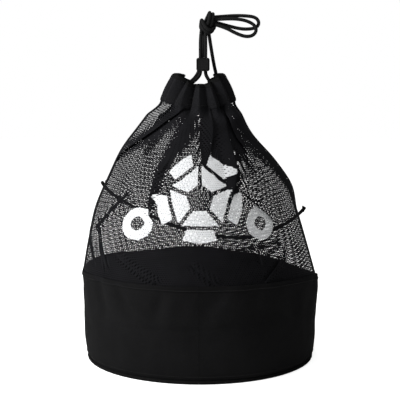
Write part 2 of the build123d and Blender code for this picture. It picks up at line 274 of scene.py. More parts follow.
# Fine creases in the front net: from (degrees, rise) to (degrees, rise), and depth.
FINE_CREASES = (
    ((-44, 0.52), (-64, 0.28), 0.0022),
    ((-80, 0.28), (-60, 0.09), 0.0018),
    ((-66, 0.35), (-49, 0.07), 0.0018),
    ((25, 0.53), (46, 0.34), 0.0020),
    ((17, 0.21), (46, 0.23), 0.0002),
    ((30, 0.21), (31, 0.12), 0.0010),
    ((47, 0.22), (47, 0.10), 0.0010),
    ((-44, 0.17), (-19, 0.03), 0.0030),
    ((-4, 0.14), (8, 0.03), 0.0024),
    ((43, 0.13), (31, 0.03), 0.0026),
)
CREASE_REACH = 0.010


def along_crease(angle, rise, start, end):
    """Distance across a fine crease in metres, how far along it, and its direction."""
    mean_radius = float(net_radius(math.radians((start[0] + end[0]) / 2), (start[1] + end[1]) / 2))
    height = SEAM_HIGH - RIM_HEIGHT
    run = np.array([math.radians(end[0] - start[0]) * mean_radius, (end[1] - start[1]) * height])
    length = np.hypot(*run)
    along_x, along_z = run / length
    dx = turn_between(angle, math.radians(start[0])) * mean_radius
    dz = (rise - start[1]) * height
    along = (dx * along_x + dz * along_z) / length
    strength = smooth_step(-0.1, 0.15, along) * (1 - smooth_step(0.85, 1.1, along))
    return dz * along_x - dx * along_z, strength, along_x / height, along_z / mean_radius


def fold_net(angle, rise, folds, creases=()):
    """Moves points of flat net into its folds: new angle, new rise, step outward."""
    radius = net_radius(angle, rise)
    turned, lifted, outward = angle.copy(), rise.copy(), np.zeros_like(angle)
    for fold in folds:
        turn, step = fold.shift(angle, rise, radius)
        turned += turn
        outward += step
    for start, end, depth in creases:
        across, strength, lift_share, turn_share = along_crease(angle, rise, start, end)
        wave = np.sin(math.pi * np.clip(across / CREASE_REACH, -1, 1)) * strength
        shear = 0.62 * CREASE_REACH * min(1.0, depth / 0.0018)
        turned += wave * shear * turn_share
        lifted -= wave * shear * lift_share
        outward += depth * wave
    return turned, lifted, outward


def bunching(angle, rise, bunches, creases=()):
    """How tightly the net is bunched, from 0 where it lies open to 1."""
    tight = np.zeros_like(angle)
    for way in bunches:
        rises = [w[0] for w in way]
        centre = np.radians(np.interp(rise, rises, [w[1] for w in way]))
        half = np.radians(np.interp(rise, rises, [w[2] for w in way]))
        off = np.abs(turn_between(angle, centre)) / half
        edge = (1 - smooth_step(0.8, 1.1, off)) * smooth_step(rises[0] - 0.02, rises[0] + 0.03, rise)
        tight = np.maximum(tight, edge)
    for start, end, _ in creases:
        across, strength, _, _ = along_crease(angle, rise, start, end)
        tight = np.maximum(tight, (1 - smooth_step(0.0015, 0.005, np.abs(across))) * strength)
    return tight


def net_position(angle, rise, folds=(), creases=()):
    """Points of the net, folded and creased, and drawn in to the collar at the top."""
    turned, lifted, outward = fold_net(angle, rise, folds, creases)
    radius = net_radius(turned, lifted) + outward
    radius = radius + 0.0022 * np.sin(5 * turned + 3 * lifted) * np.sin(math.pi * np.clip(lifted, 0, 1))
    near_collar = smooth_step(0.90, 1.0, lifted)
    gathered = collar_radius(turned, 0 * turned) - 0.0016 + 0.35 * outward
    radius = radius * (1 - near_collar) + gathered * near_collar
    low = rim_height(turned) - 0.006
    height = low + lifted * (seam_height(turned) + 0.003 - low)
    return np.stack([radius * np.sin(turned), -radius * np.cos(turned), height], axis=-1)


# ---- materials
def node_group(name, inputs, outputs):
    tree = bpy.data.node_groups.new(name, "ShaderNodeTree")
    for label, kind, value in inputs:
        socket = tree.interface.new_socket(label, in_out="INPUT", socket_type=kind)
        if value is not None:
            socket.default_value = value
    for label, kind in outputs:
        tree.interface.new_socket(label, in_out="OUTPUT", socket_type=kind)
    return tree, tree.nodes.new("NodeGroupInput"), tree.nodes.new("NodeGroupOutput")


def maths(tree, operation, first, second=None):
    node = tree.nodes.new("ShaderNodeMath")
    node.operation = operation
    for socket, value in zip(node.inputs, (first, second)):
        if value is None:
            continue
        if hasattr(value, "is_output"):
            tree.links.new(value, socket)
        else:
            socket.default_value = value
    return node.outputs[0]


def weave_group():
    """Over-and-under threads: a height for bump and a mask of the gaps between threads, used to paint shade
    into them.
    """
    tree, given, result = node_group(
        "plain weave",
        (("Place", "NodeSocketVector", None), ("Thread", "NodeSocketFloat", 0.0008)),
        (("Height", "NodeSocketFloat"), ("Gap shade", "NodeSocketFloat")),
    )
    split = tree.nodes.new("ShaderNodeSeparateXYZ")
    tree.links.new(given.outputs["Place"], split.inputs[0])
    turns = maths(tree, "DIVIDE", math.pi, given.outputs["Thread"])
    warp = maths(tree, "SINE", maths(tree, "MULTIPLY", split.outputs[0], turns))
    weft = maths(tree, "SINE", maths(tree, "MULTIPLY", split.outputs[1], turns))
    crossing = maths(tree, "MULTIPLY", warp, weft)
    height = maths(tree, "MULTIPLY", maths(tree, "ADD", crossing, 1.0), 0.5)
    warp_gap = maths(tree, "SUBTRACT", 1.0, maths(tree, "ABSOLUTE", warp))
    weft_gap = maths(tree, "SUBTRACT", 1.0, maths(tree, "ABSOLUTE", weft))
    gaps = maths(tree, "POWER", maths(tree, "MAXIMUM", warp_gap, weft_gap), 3.0)
    tree.links.new(height, result.inputs["Height"])
    tree.links.new(gaps, result.inputs["Gap shade"])
    return tree


def dye_group():
    """Uneven dye and lint: broad clouds and fine specks, both from 0 to 1."""
    tree, given, result = node_group(
        "uneven dye",
        (("Cloud size", "NodeSocketFloat", 12.0), ("Lint size", "NodeSocketFloat", 900.0)),
        (("Clouds", "NodeSocketFloat"), ("Lint", "NodeSocketFloat")),
    )
    place = tree.nodes.new("ShaderNodeTexCoord")
    clouds = tree.nodes.new("ShaderNodeTexNoise")
    clouds.inputs["Detail"].default_value = 4.0
    tree.links.new(place.outputs["Object"], clouds.inputs["Vector"])
    tree.links.new(given.outputs["Cloud size"], clouds.inputs["Scale"])
    specks = tree.nodes.new("ShaderNodeTexNoise")
    specks.inputs["Detail"].default_value = 2.0
    tree.links.new(place.outputs["Object"], specks.inputs["Vector"])
    tree.links.new(given.outputs["Lint size"], specks.inputs["Scale"])
    lint = tree.nodes.new("ShaderNodeMapRange")
    lint.inputs["From Min"].default_value = 0.60
    lint.inputs["From Max"].default_value = 0.78
    tree.links.new(specks.outputs[0], lint.inputs["Value"])
    tree.links.new(clouds.outputs[0], result.inputs["Clouds"])
    tree.links.new(lint.outputs[0], result.inputs["Lint"])
    return tree


WEAVE = weave_group()
DYE = dye_group()


def add_group(tree, group, **values):
    node = tree.nodes.new("ShaderNodeGroup")
    node.node_tree = group
    for label, value in values.items():
        node.inputs[label.replace("_", " ")].default_value = value
    return node


def mix_colours(tree, share, first, second):
    node = tree.nodes.new("ShaderNodeMix")
    node.data_type = "RGBA"
    for index, value in ((0, share), (6, first), (7, second)):
        if hasattr(value, "is_output"):
            tree.links.new(value, node.inputs[index])
        elif index == 0:
            node.inputs[index].default_value = value
        else:
            node.inputs[index].default_value = (*value, 1.0)
    return node.outputs[2]


def new_material(name, roughness, gloss=0.2):
    material = bpy.data.materials.new(name)
    material.use_nodes = True
    shader = material.node_tree.nodes["Principled BSDF"]
    shader.inputs["Roughness"].default_value = roughness
    shader.inputs["Specular IOR Level"].default_value = gloss
    return material, material.node_tree, shader


def add_bump(tree, shader, height, strength, distance):
    bump = tree.nodes.new("ShaderNodeBump")
    bump.inputs["Strength"].default_value = strength
    bump.inputs["Distance"].default_value = distance
    tree.links.new(height, bump.inputs["Height"])
    tree.links.new(bump.outputs[0], shader.inputs["Normal"])


CLOTH_ROUGHNESS = 0.9
CLOTH_GLOSS = 0.05


def cloth(name, dark, light, thread, relief):
    """Dyed woven cloth, with its threads, painted shade in the gaps between them, its uneven dye and a little
    lint.
    """
    material, tree, shader = new_material(name, CLOTH_ROUGHNESS, CLOTH_GLOSS)
    uv = tree.nodes.new("ShaderNodeUVMap")
    uv.uv_map = "cloth"
    weave = add_group(tree, WEAVE, Thread=thread)
    tree.links.new(uv.outputs[0], weave.inputs["Place"])
    dye = add_group(tree, DYE, Cloud_size=14.0)
    ground = mix_colours(tree, dye.outputs["Clouds"], dark, light)
    # Painted shade: the gaps between threads are darkened in the colour, to 0.4 of the dark dye.
    threads = mix_colours(tree, weave.outputs["Gap shade"], ground, tuple(c * 0.4 for c in dark))
    lint = maths(tree, "MULTIPLY", dye.outputs["Lint"], 0.05)
    tree.links.new(mix_colours(tree, lint, threads, (0.16, 0.16, 0.17)), shader.inputs["Base Color"])
    add_bump(tree, shader, weave.outputs["Height"], relief, thread * 0.35)
    return material


def yarn(name, dark, light, roughness, gloss):
    """Spun or braided yarn: fine fibres along a solid thread."""
    material, tree, shader = new_material(name, roughness, gloss)
    dye = add_group(tree, DYE, Cloud_size=60.0, Lint_size=1400.0)
    ground = mix_colours(tree, dye.outputs["Clouds"], dark, light)
    lint = maths(tree, "MULTIPLY", dye.outputs["Lint"], 0.05)
    tree.links.new(mix_colours(tree, lint, ground, (0.12, 0.12, 0.13)), shader.inputs["Base Color"])
    add_bump(tree, shader, dye.outputs["Lint"], 0.35, 0.0003)
    return material


def print_ink():
    """Pale screen-print ink on the net, thin where the yarn has flexed."""
    material, tree, shader = new_material("pale print ink", 0.65, 0.2)
    dye = add_group(tree, DYE, Cloud_size=55.0, Lint_size=420.0)
    worn = maths(tree, "MULTIPLY", dye.outputs["Lint"], 0.55)
    ground = mix_colours(tree, dye.outputs["Clouds"], (0.52, 0.53, 0.54), (0.76, 0.77, 0.78))
    tree.links.new(mix_colours(tree, worn, ground, (0.20, 0.20, 0.21)), shader.inputs["Base Color"])
    add_bump(tree, shader, dye.outputs["Clouds"], 0.4, 0.0003)
    return material


def moulded_plastic():
    material, tree, shader = new_material("black moulded plastic", 0.5, 0.2)
    dye = add_group(tree, DYE, Cloud_size=90.0, Lint_size=1600.0)
    scuffs = mix_colours(tree, dye.outputs["Lint"], (0.004, 0.004, 0.004), (0.012, 0.012, 0.012))
    tree.links.new(scuffs, shader.inputs["Base Color"])
    roughness = maths(tree, "ADD", maths(tree, "MULTIPLY", dye.outputs["Clouds"], 0.25), 0.30)
    tree.links.new(roughness, shader.inputs["Roughness"])
    add_bump(tree, shader, dye.outputs["Lint"], 0.15, 0.0002)
    return material


def spring_wire():
    material, tree, shader = new_material("drawn spring wire", 0.3, 0.5)
    dye = add_group(tree, DYE, Cloud_size=200.0, Lint_size=2000.0)
    colour = mix_colours(tree, dye.outputs["Clouds"], (0.38, 0.38, 0.39), (0.62, 0.62, 0.63))
    tree.links.new(colour, shader.inputs["Base Color"])
    shader.inputs["Metallic"].default_value = 1.0
    return material


WALL_CLOTH = cloth("coated wall cloth", (0.0030, 0.0030, 0.0032), (0.0100, 0.0100, 0.0104), 0.0011, 1.0)
COLLAR_CLOTH = cloth("collar casing cloth", (0.0050, 0.0050, 0.0058), (0.0130, 0.0130, 0.0144), 0.0008, 0.7)
TAPE = cloth("binding tape", (0.004, 0.004, 0.004), (0.008, 0.008, 0.008), 0.0006, 0.6)
PANEL_CLOTH = cloth("bottom panel cloth", (0.005, 0.005, 0.006), (0.010, 0.010, 0.011), 0.0011, 0.6)
NET_YARN = yarn("net yarn", (0.0038, 0.0038, 0.0044), (0.0085, 0.0085, 0.0100), 0.75, 0.05)
PRINT_INK = print_ink()
CORD_YARN = yarn("braided cord yarn", (0.0045, 0.0045, 0.0045), (0.0105, 0.0105, 0.0105), 0.8, 0.08)
THREAD = yarn("sewing thread", (0.006, 0.006, 0.006), (0.018, 0.018, 0.018), 0.7, 0.1)
PLASTIC = moulded_plastic()
SPRING_WIRE = spring_wire()


# ---- net
FRONT_CELLS = (152, 96)       # cells across the net and up it
BACK_CELLS = (154, 90)
HOLE_SHARE = 0.54             # size of a hole in the net against its cell
BUNCHED_HOLE_SHARE = 0.22     # the same where the net is bunched tight
PRINT_HOLE_SHARE = 0.34       # the ink narrows the holes that it covers


def ball_mark(x, z):
    """Where the print is: a plain ball with five-sided patches, x and z in ball radii."""
    radius = np.hypot(x, z)
    disc = radius < 1.0
    patch = np.zeros_like(disc)
    seams = np.zeros_like(disc)

    def pentagon(px, pz, size, turn):
        reach = np.zeros_like(px)
        for side in range(5):
            facing = turn + side * 2 * math.pi / 5
            reach = np.maximum(reach, px * math.cos(facing) + pz * math.sin(facing))
        return reach < size

    patch |= pentagon(x, z, 0.27, -math.pi / 2)
    for spoke in range(5):
        turn = math.pi / 2 + spoke * 2 * math.pi / 5
        out_x, out_z = math.cos(turn), math.sin(turn)
        along = x * out_x + z * out_z
        across = -x * out_z + z * out_x
        patch |= pentagon(x - out_x * 0.98, z - out_z * 0.98, 0.26, turn + math.pi)
        seams |= (np.abs(across) < 0.045) & (along > 0.2) & (along < 0.8)
        ring = turn + math.pi / 5
        ring_x, ring_z = math.cos(ring), math.sin(ring)
        side = x * ring_x + z * ring_z
        seams |= (np.abs(side - 0.66) < 0.045) & (np.abs(-x * ring_z + z * ring_x) < 0.34)
    return disc & ~patch & ~seams


def small_ball_mark(x, z):
    return (np.hypot(x, z) < 1.0) & ((np.hypot(x, z) > 0.42) | (np.abs(x) + np.abs(z) > 0.6))


def pulled_askew(u, v):
    """Moves the knots of the net a little off their rows, as slack net lies."""
    inside = np.sin(math.pi * np.clip(u, 0, 1)) * np.sin(math.pi * np.clip(v, 0, 1))
    drift_u, drift_v = np.zeros_like(u), np.zeros_like(v)
    for scale, reach in ((9, 0.0030), (31, 0.0012), (83, 0.0006)):
        spots = [Vector((a * scale * 2, b * scale, scale)) for a, b in zip(u, v)]
        shifted = [spot + Vector((50, 0, 0)) for spot in spots]
        drift_u += reach * inside * np.array([noise.noise(spot) for spot in spots])
        drift_v += 1.6 * reach * inside * np.array([noise.noise(spot) for spot in shifted])
    return u + drift_u, v + drift_v


def knit_net(name, cell_count, first_angle, last_angle, folds, bunches, creases=(), mark=None,
             turned=False):
    """One panel of net: six-sided cells, each with a six-sided hole."""
    width = last_angle - first_angle
    across, up = reversed(cell_count) if turned else cell_count
    cells = [(row, column) for row in range(up) for column in range(across - row % 2)]
    rows = np.array([c[0] for c in cells])
    columns = np.array([c[1] for c in cells])
    centre_u = (columns + 0.5 + 0.5 * (rows % 2)) / across
    centre_v = (rows + 0.5) / up
    half_u = 0.5 / across
    third_v = 1.0 / up / 1.5
    reach_u = np.array([0, half_u, half_u, 0, -half_u, -half_u])
    reach_v = np.array([-third_v, -third_v / 2, third_v / 2, third_v, third_v / 2, -third_v / 2])
    outer_u = np.clip(centre_u[:, None] + reach_u, 0, 1)
    outer_v = np.clip(centre_v[:, None] + reach_v, 0, 1)
    spot_u, spot_v = (centre_v, centre_u) if turned else (centre_u, centre_v)
    centre_angle = first_angle + spot_u * width
    tight = bunching(centre_angle, spot_v, bunches, creases)
    slack = np.array([noise.noise(Vector((a * 5, v * 7, 2.0))) for a, v in zip(centre_angle, spot_v)])
    open_share = bunching(centre_angle, spot_v, OPEN_PLACES)
    size = HOLE_SHARE * (1 - 0.07 * np.sin(centre_angle) + 0.12 * slack + 0.12 * open_share)
    size = size * (1 - tight) + BUNCHED_HOLE_SHARE * tight
    if mark is not None:
        size = np.where(mark(spot_u, spot_v), np.minimum(PRINT_HOLE_SHARE, size), size)
    share = size[:, None] * np.ones(6)
    inner_u = centre_u[:, None] + (outer_u - centre_u[:, None]) * share
    inner_v = centre_v[:, None] + (outer_v - centre_v[:, None]) * share
    keys = np.stack([np.round(outer_u * across * 2), np.round(outer_v * up * 6)], axis=-1).reshape(-1, 2)
    _, first, index = np.unique(keys, axis=0, return_index=True, return_inverse=True)
    index = index.reshape(len(cells), 6)
    all_u = np.concatenate([outer_u.ravel()[first], inner_u.ravel()])
    all_v = np.concatenate([outer_v.ravel()[first], inner_v.ravel()])
    inner_index = len(first) + np.arange(len(cells) * 6).reshape(len(cells), 6)
    after = np.roll(np.arange(6), -1)
    faces = np.stack([index, index[:, after], inner_index[:, after], inner_index], axis=-1).reshape(-1, 4)
    used = np.array([len(set(face)) == 4 for face in faces])
    faces = faces[used]
    if turned:
        all_u, all_v = all_v, all_u
    drawn_u, drawn_v = pulled_askew(all_u, all_v)
    points = net_position(first_angle + drawn_u * width, drawn_v, folds, creases)
    uvs = np.stack([all_u * width * RIM_RADIUS, all_v * (SEAM_HIGH - RIM_HEIGHT)], axis=-1)
    face_materials = None
    if mark is not None:
        face_materials = mark(all_u[faces].mean(axis=1), all_v[faces].mean(axis=1)).astype(int)
    return make_piece(name, points, faces, uvs, (NET_YARN, PRINT_INK), face_materials)


# The print: a large ball between two small ones.  Each is its middle, as metres round
# the net and up from the print's middle, its radius and its drawing.
MARK_RISE = 0.50
MARK_BALLS = ((0.0, 0.0, 0.068, ball_mark), (-0.094, -0.044, 0.025, small_ball_mark),
              (0.094, -0.044, 0.025, small_ball_mark))


def front_mark(u, v):
    around = turn_between(-math.pi / 2 + u * math.pi, 0.0) * 0.155
    up = (v - MARK_RISE) * (SEAM_HIGH - RIM_HEIGHT)
    inked = np.zeros(np.shape(u), dtype=bool)
    for middle_x, middle_z, radius, drawing in MARK_BALLS:
        inked |= drawing((around - middle_x) / radius, (up - middle_z) / radius)
    return inked


def ride_squashed(piece):
    """Net and its seams go on the root body, each with a mesh of its own."""
    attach(piece, "root")
    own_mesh(piece)


side_gap = math.radians(1.2)
net_front = knit_net("net_front", FRONT_CELLS, -math.pi / 2 + side_gap, math.pi / 2 - side_gap, FRONT_FOLDS,
                     FRONT_BUNCHES, FINE_CREASES, front_mark)
net_back = knit_net("net_back", BACK_CELLS, math.pi / 2 + side_gap, 1.5 * math.pi - side_gap, BACK_FOLDS,
                    BACK_BUNCHES, turned=True)
for net, node in ((net_front, "mesh_front"), (net_back, "mesh_back")):
    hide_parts(node)
    ride_squashed(net)


# ---- side seams
def side_seam(name, middle, node):
    across = np.linspace(-0.0045, 0.0045, 7)
    up = np.linspace(0, 1, 90)
    points, uvs = [], []
    for rise in up:
        radius = float(net_radius(middle, rise))
        angles = middle + across / radius
        rises = np.full(7, rise)
        swell = 0.0022 - 0.0012 * (across / 0.0045) ** 2
        rows = net_position(angles, rises)
        outward = np.stack([np.sin(angles), -np.cos(angles), 0 * angles], axis=-1)
        points.extend(rows + outward * (swell[:, None] - 0.0005))
        uvs.extend(zip(across, rises * 0.3))
    seam = make_piece(name, points, grid_faces(7, 90, False), uvs, (TAPE,))
    thicken(seam, 0.0024)
    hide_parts(node)
    return seam


def apply_modifiers(piece):
    """Turns a piece's modifiers into plain mesh."""
    evaluated = piece.evaluated_get(bpy.context.evaluated_depsgraph_get())
    final = bpy.data.meshes.new_from_object(evaluated)
    piece.modifiers.clear()
    piece.data = final


SIDE_SEAMS = (("side_seam_l", -math.pi / 2, "side_seam_left"), ("side_seam_r", math.pi / 2, "side_seam_right"))
for name, middle, node in SIDE_SEAMS:
    seam = side_seam(name, middle, node)
    apply_modifiers(seam)
    ride_squashed(seam)


# ---- base
WALL_COLUMNS = 420
WALL_SIDE = (
    (0.0, 0.1885), (0.03, 0.1915), (0.08, 0.1935), (0.20, 0.1958), (0.45, 0.1972), (0.70, 0.1985),
    (0.88, 0.2002), (0.96, 0.1998), (1.0, 0.1990),
)
WALL_START = 0.0045


# Soft folds in the wall: from (degrees, share) to (degrees, share), depth and width.
WALL_FOLDS = (
    ((238, 0.96), (202, 0.46), 0.007, 0.014),
    ((184, 0.90), (171, 0.50), 0.006, 0.012),
    ((133, 0.90), (146, 0.46), 0.007, 0.012),
    ((216, 1.00), (190, 0.72), 0.004, 0.010),
    ((158, 1.00), (150, 0.70), 0.004, 0.010),
    ((-55, 1.00), (-50, 0.62), 0.0040, 0.010),
    ((-42, 0.98), (-34, 0.66), 0.0050, 0.012),
    ((-16, 0.97), (-20, 0.70), 0.0036, 0.012),
    ((10, 0.96), (2, 0.66), 0.0030, 0.014),
    ((44, 0.97), (52, 0.60), 0.0030, 0.014),
    ((-60, 0.50), (20, 0.56), 0.0020, 0.006),
)


def fold_depth(angle, share):
    """How far the wall's soft folds draw it in at a place."""
    depth = 0.0
    for (from_angle, from_share), (to_angle, to_share), full, width in WALL_FOLDS:
        middle = math.radians((from_angle + to_angle) / 2)
        across_x = turn_between(angle, middle) * RIM_RADIUS
        across_z = (share - (from_share + to_share) / 2) * RIM_HEIGHT
        run_x = math.radians(to_angle - from_angle) * RIM_RADIUS / 2
        run_z = (to_share - from_share) * RIM_HEIGHT / 2
        along = (across_x * run_x + across_z * run_z) / (run_x**2 + run_z**2)
        along = min(1.0, max(-1.0, along))
        gap = math.hypot(across_x - along * run_x, across_z - along * run_z)
        depth += full * math.exp(-((gap / width) ** 2)) * (1 - 0.6 * along * along)
    return depth


def wall_position(angle, share, outset=0.0):
    """Point on the base wall; share is 0 at the floor seam and 1 at the rim."""
    radius = float(soft_curve(WALL_SIDE, share)) + outset
    x, y = math.sin(angle), -math.cos(angle)
    top = float(rim_height(np.array(angle)))
    height = WALL_START + share * (top - WALL_START)
    slack = 0.25 + 0.75 * share
    spot = Vector((x * 1.7, y * 1.7, share * 1.2))
    ripple = noise.noise(spot * 2.1) * 0.0026 + noise.noise(spot * 5.3 + Vector((3, 1, 7))) * 0.0012
    radius += ripple * slack
    dent = math.exp(-((share - 0.78) / 0.2) ** 2)
    radius -= 0.0022 * dent * max(0.0, noise.noise(spot * 3.3 + Vector((9, 4, 2))))
    radius -= fold_depth(angle, share)
    if share > 0.55:
        radius = min(radius, RIM_RADIUS - 0.0003 + outset)
    return Vector((radius * x, radius * y, height))


def wall_band(name, low, high, rows, outset, thickness, material):
    points, uvs = [], []
    for row in range(rows):
        share = low + (high - low) * row / (rows - 1)
        for column in range(WALL_COLUMNS):
            angle = 2 * math.pi * column / WALL_COLUMNS
            points.append(wall_position(angle, share, outset))
            uvs.append((angle * RIM_RADIUS, share * RIM_HEIGHT))
    band = make_piece(name, points, grid_faces(WALL_COLUMNS, rows, True), uvs, (material,))
    thicken(band, thickness)
    return band


base_wall = wall_band("base_wall_cloth", 0.0, 1.0, 64, 0.0, 0.0022, WALL_CLOTH)
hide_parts("base_wall")
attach(base_wall, "root")

rim_tape = wall_band("rim_tape", 0.90, 0.995, 6, -0.0026, 0.0012, TAPE)
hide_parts("rim_seam_tape")
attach(rim_tape, "root")

rim_hem = wall_band("rim_hem", 0.945, 1.003, 6, 0.0006, 0.0012, WALL_CLOTH)
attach(rim_hem, "root")


def foot_binding():
    """Rounded tape over the seam between wall and bottom panel."""
    around, section = WALL_COLUMNS, 14
    points, uvs = [], []
    for row in range(section):
        turn = 2 * math.pi * row / section
        for column in range(around):
            angle = 2 * math.pi * column / around
            pucker = 0.00025 * math.sin(column * 2 * math.pi / 7)
            radius = FOOT_RADIUS - 0.0030 + (0.0028 + pucker) * math.cos(turn)
            height = 0.0032 + 0.0030 * math.sin(turn)
            points.append((radius * math.sin(angle), -radius * math.cos(angle), height))
            uvs.append((angle * FOOT_RADIUS, row * 0.001))
    faces = grid_faces(around, section, True)
    faces += closing_faces(around, section)
    return make_piece("foot_binding", points, faces, uvs, (TAPE,))


foot = foot_binding()
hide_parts("bottom_binding")
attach(foot, "root")


# ---- stitching
def stitch_row(name, places, length, body):
    """Short raised stitches lying along a run of (point, direction, outward) places."""
    points, faces = [], []
    for place, direction, outward in places:
        side = direction.cross(outward).normalized()
        start = len(points)
        for share, size in ((-0.5, 0.35), (-0.3, 1.0), (0.3, 1.0), (0.5, 0.35)):
            middle = place + direction * (length * share) + outward * (0.00035 * size - 0.0001)
            for corner in range(6):
                turn = corner * math.pi / 3
                points.append(middle + (side * math.cos(turn) + outward * math.sin(turn)) * 0.00042 * size)
        for ring_index in range(3):
            for corner in range(6):
                after = (corner + 1) % 6
                low, high = start + ring_index * 6, start + ring_index * 6 + 6
                faces.append((low + corner, low + after, high + after, high + corner))
        faces.append(tuple(start + corner for corner in reversed(range(6))))
        faces.append(tuple(start + 18 + corner for corner in range(6)))
    row = make_piece(name, points, faces, None, (THREAD,))
    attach(row, body)
    return row


def run_of_places(position, count):
    """Places at equal angles round the bag, from a function of the angle."""
    places = []
    for index in range(count):
        angle = 2 * math.pi * index / count
        here, ahead = position(angle), position(angle + 0.004)
        direction = (ahead - here).normalized()
        outward = direction.cross(Vector((0, 0, 1))).normalized()
        places.append((here, direction, outward))
    return places


stitch_row("rim_stitching", run_of_places(lambda a: wall_position(a, 0.958, 0.0008), 340), 0.0026, "root")
stitch_row("foot_stitching", run_of_places(lambda a: wall_position(a, 0.055, 0.0002), 330), 0.0026, "root")


# ---- collar
COLLAR_COLUMNS = 720


def collar_position(angle, climb, inward=0.0, raise_by=0.0):
    radius = collar_radius(angle, np.clip(climb, 0, 1)) - inward
    low, high = seam_height(angle), hem_height(angle) - 0.0015
    height = low + climb * (high - low) + raise_by
    return np.stack([radius * np.sin(angle), -radius * np.cos(angle), height], axis=-1)


def collar_band(name, profile, material, closed=False):
    """Pleated band; profile is a list of (climb, inward, raise) round its section."""
    angles = np.linspace(0, 2 * math.pi, COLLAR_COLUMNS, endpoint=False)
    points, uvs = [], []
    walked = 0.0
    for climb, inward, lift in profile:
        points.extend(collar_position(angles, climb, inward, lift))
        uvs.extend((a * 0.11, walked + climb * 0.045) for a in angles)
    faces = grid_faces(COLLAR_COLUMNS, len(profile), True)
    if closed:
        faces += closing_faces(COLLAR_COLUMNS, len(profile))
    band = make_piece(name, points, faces, uvs, (material,))
    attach(band, "collar")
    return band


casing_profile = [(share, 0.0, 0.0) for share in np.linspace(0.0, 0.96, 16)]
casing_profile += [(1.0, 0.0010, 0.0), (1.0, 0.0035, 0.0012), (1.0, 0.0065, 0.0)]
casing_profile += [(share, 0.0080, 0.0) for share in np.linspace(0.96, 0.0, 16)]
casing_profile += [(0.0, 0.0050, -0.0010), (0.0, 0.0015, -0.0010)]
collar = collar_band("collar_cloth", casing_profile, COLLAR_CLOTH, closed=True)
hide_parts("collar_casing")

hem_profile = [(0.90, -0.0005, 0.0), (0.95, -0.0006, 0.0), (0.985, -0.0004, 0.0), (1.0, 0.0008, 0.0008)]
hem_profile += [(1.0, 0.0036, 0.0020), (1.0, 0.0066, 0.0008), (0.985, 0.0084, 0.0), (0.95, 0.0086, 0.0)]
hem_profile += [(0.90, 0.0085, 0.0)]
hem = collar_band("hem_binding", hem_profile, TAPE)
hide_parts("collar_hem")

seam_tape = collar_band("seam_tape", [(-0.05, 0.0012, 0.0), (-0.03, 0.0002, 0.0), (0.02, -0.0003, 0.0),
                                      (0.10, -0.0003, 0.0), (0.13, 0.0002, 0.0)], COLLAR_CLOTH)
thicken(seam_tape, 0.0006)
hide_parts("collar_seam_tape")


def collar_place(angle, climb):
    return Vector(collar_position(np.array(angle), climb, -0.0001))


stitch_row("collar_seam_stitching", run_of_places(lambda a: collar_place(a, 0.15), 190), 0.0013, "collar")
stitch_row("collar_hem_stitching", run_of_places(lambda a: collar_place(a, 0.87), 140), 0.0013, "collar")


# ---- cords
def smooth_line(route):
    """Points along the NURBS line whose control points are the route, in metres."""
    curve = bpy.data.curves.new("route", "CURVE")
    curve.dimensions = "3D"
    spline = curve.splines.new("NURBS")
    spline.points.add(len(route) - 1)
    for point, place in zip(spline.points, route):
        point.co = (*place, 1.0)
    spline.order_u = 3
    spline.use_endpoint_u = True
    spline.resolution_u = 16
    holder = bpy.data.objects.new("route", curve)
    bpy.context.collection.objects.link(holder)
    bpy.context.view_layer.update()
    mesh = bpy.data.meshes.new_from_object(holder)
    line = [v.co.copy() for v in mesh.vertices]
    bpy.data.objects.remove(holder)
    bpy.data.meshes.remove(mesh)
    bpy.data.curves.remove(curve)
    return line


def even_points(line, step):
    """The same line with points at even steps."""
    line = [p for index, p in enumerate(line) if index == 0 or (p - line[index - 1]).length > 1e-6]
    lengths = np.concatenate([[0], np.cumsum([(b - a).length for a, b in zip(line, line[1:])])])
    count = max(3, int(round(lengths[-1] / step)) + 1)
    places = np.linspace(0, lengths[-1], count)
    coords = np.array([tuple(p) for p in line])
    return np.stack([np.interp(places, lengths, coords[:, axis]) for axis in range(3)], axis=-1), lengths[-1]


BRAID_STRANDS = 8
BRAID_PITCH = 0.0085
AROUND = 16


def braided_tube(line, radius, step=0.0009):
    """Round braid: raised strands that spiral both ways along the line."""
    points, length = even_points(line, step)
    ahead = np.gradient(points, axis=0)
    ahead /= np.linalg.norm(ahead, axis=1)[:, None]
    side = np.cross(ahead[0], (0.3, 0.9, 0.2))
    side /= np.linalg.norm(side)
    verts, uvs = [], []
    turns = np.arange(AROUND) * 2 * math.pi / AROUND
    for index, (place, direction) in enumerate(zip(points, ahead)):
        side = side - direction * side.dot(direction)
        side /= np.linalg.norm(side)
        other = np.cross(direction, side)
        walked = index * length / (len(points) - 1)
        spiral = 2 * math.pi * walked / BRAID_PITCH
        half = BRAID_STRANDS / 2
        relief = np.sin(half * turns + spiral * half / 2) * np.sin(half * turns - spiral * half / 2)
        size = radius * (0.965 + 0.035 * relief)
        if index in (0, len(points) - 1):
            size = size * 0.9
        ring = place + size[:, None] * (np.cos(turns)[:, None] * side + np.sin(turns)[:, None] * other)
        verts.extend(ring)
        uvs.extend((turn * radius, walked) for turn in turns)
    faces = grid_faces(AROUND, len(points), True)
    last = (len(points) - 1) * AROUND
    faces.append(tuple(reversed(range(AROUND))))
    faces.append(tuple(last + index for index in range(AROUND)))
    return verts, faces, uvs, length, points


def cord_piece(name, route, body, replaced):
    line = smooth_line(route)
    verts, faces, uvs, length, path = braided_tube(line, CORD_DIAMETER / 2)
    piece = make_piece(name, verts, faces, uvs, (CORD_YARN,))
    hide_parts(replaced)
    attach(piece, body)
    return piece


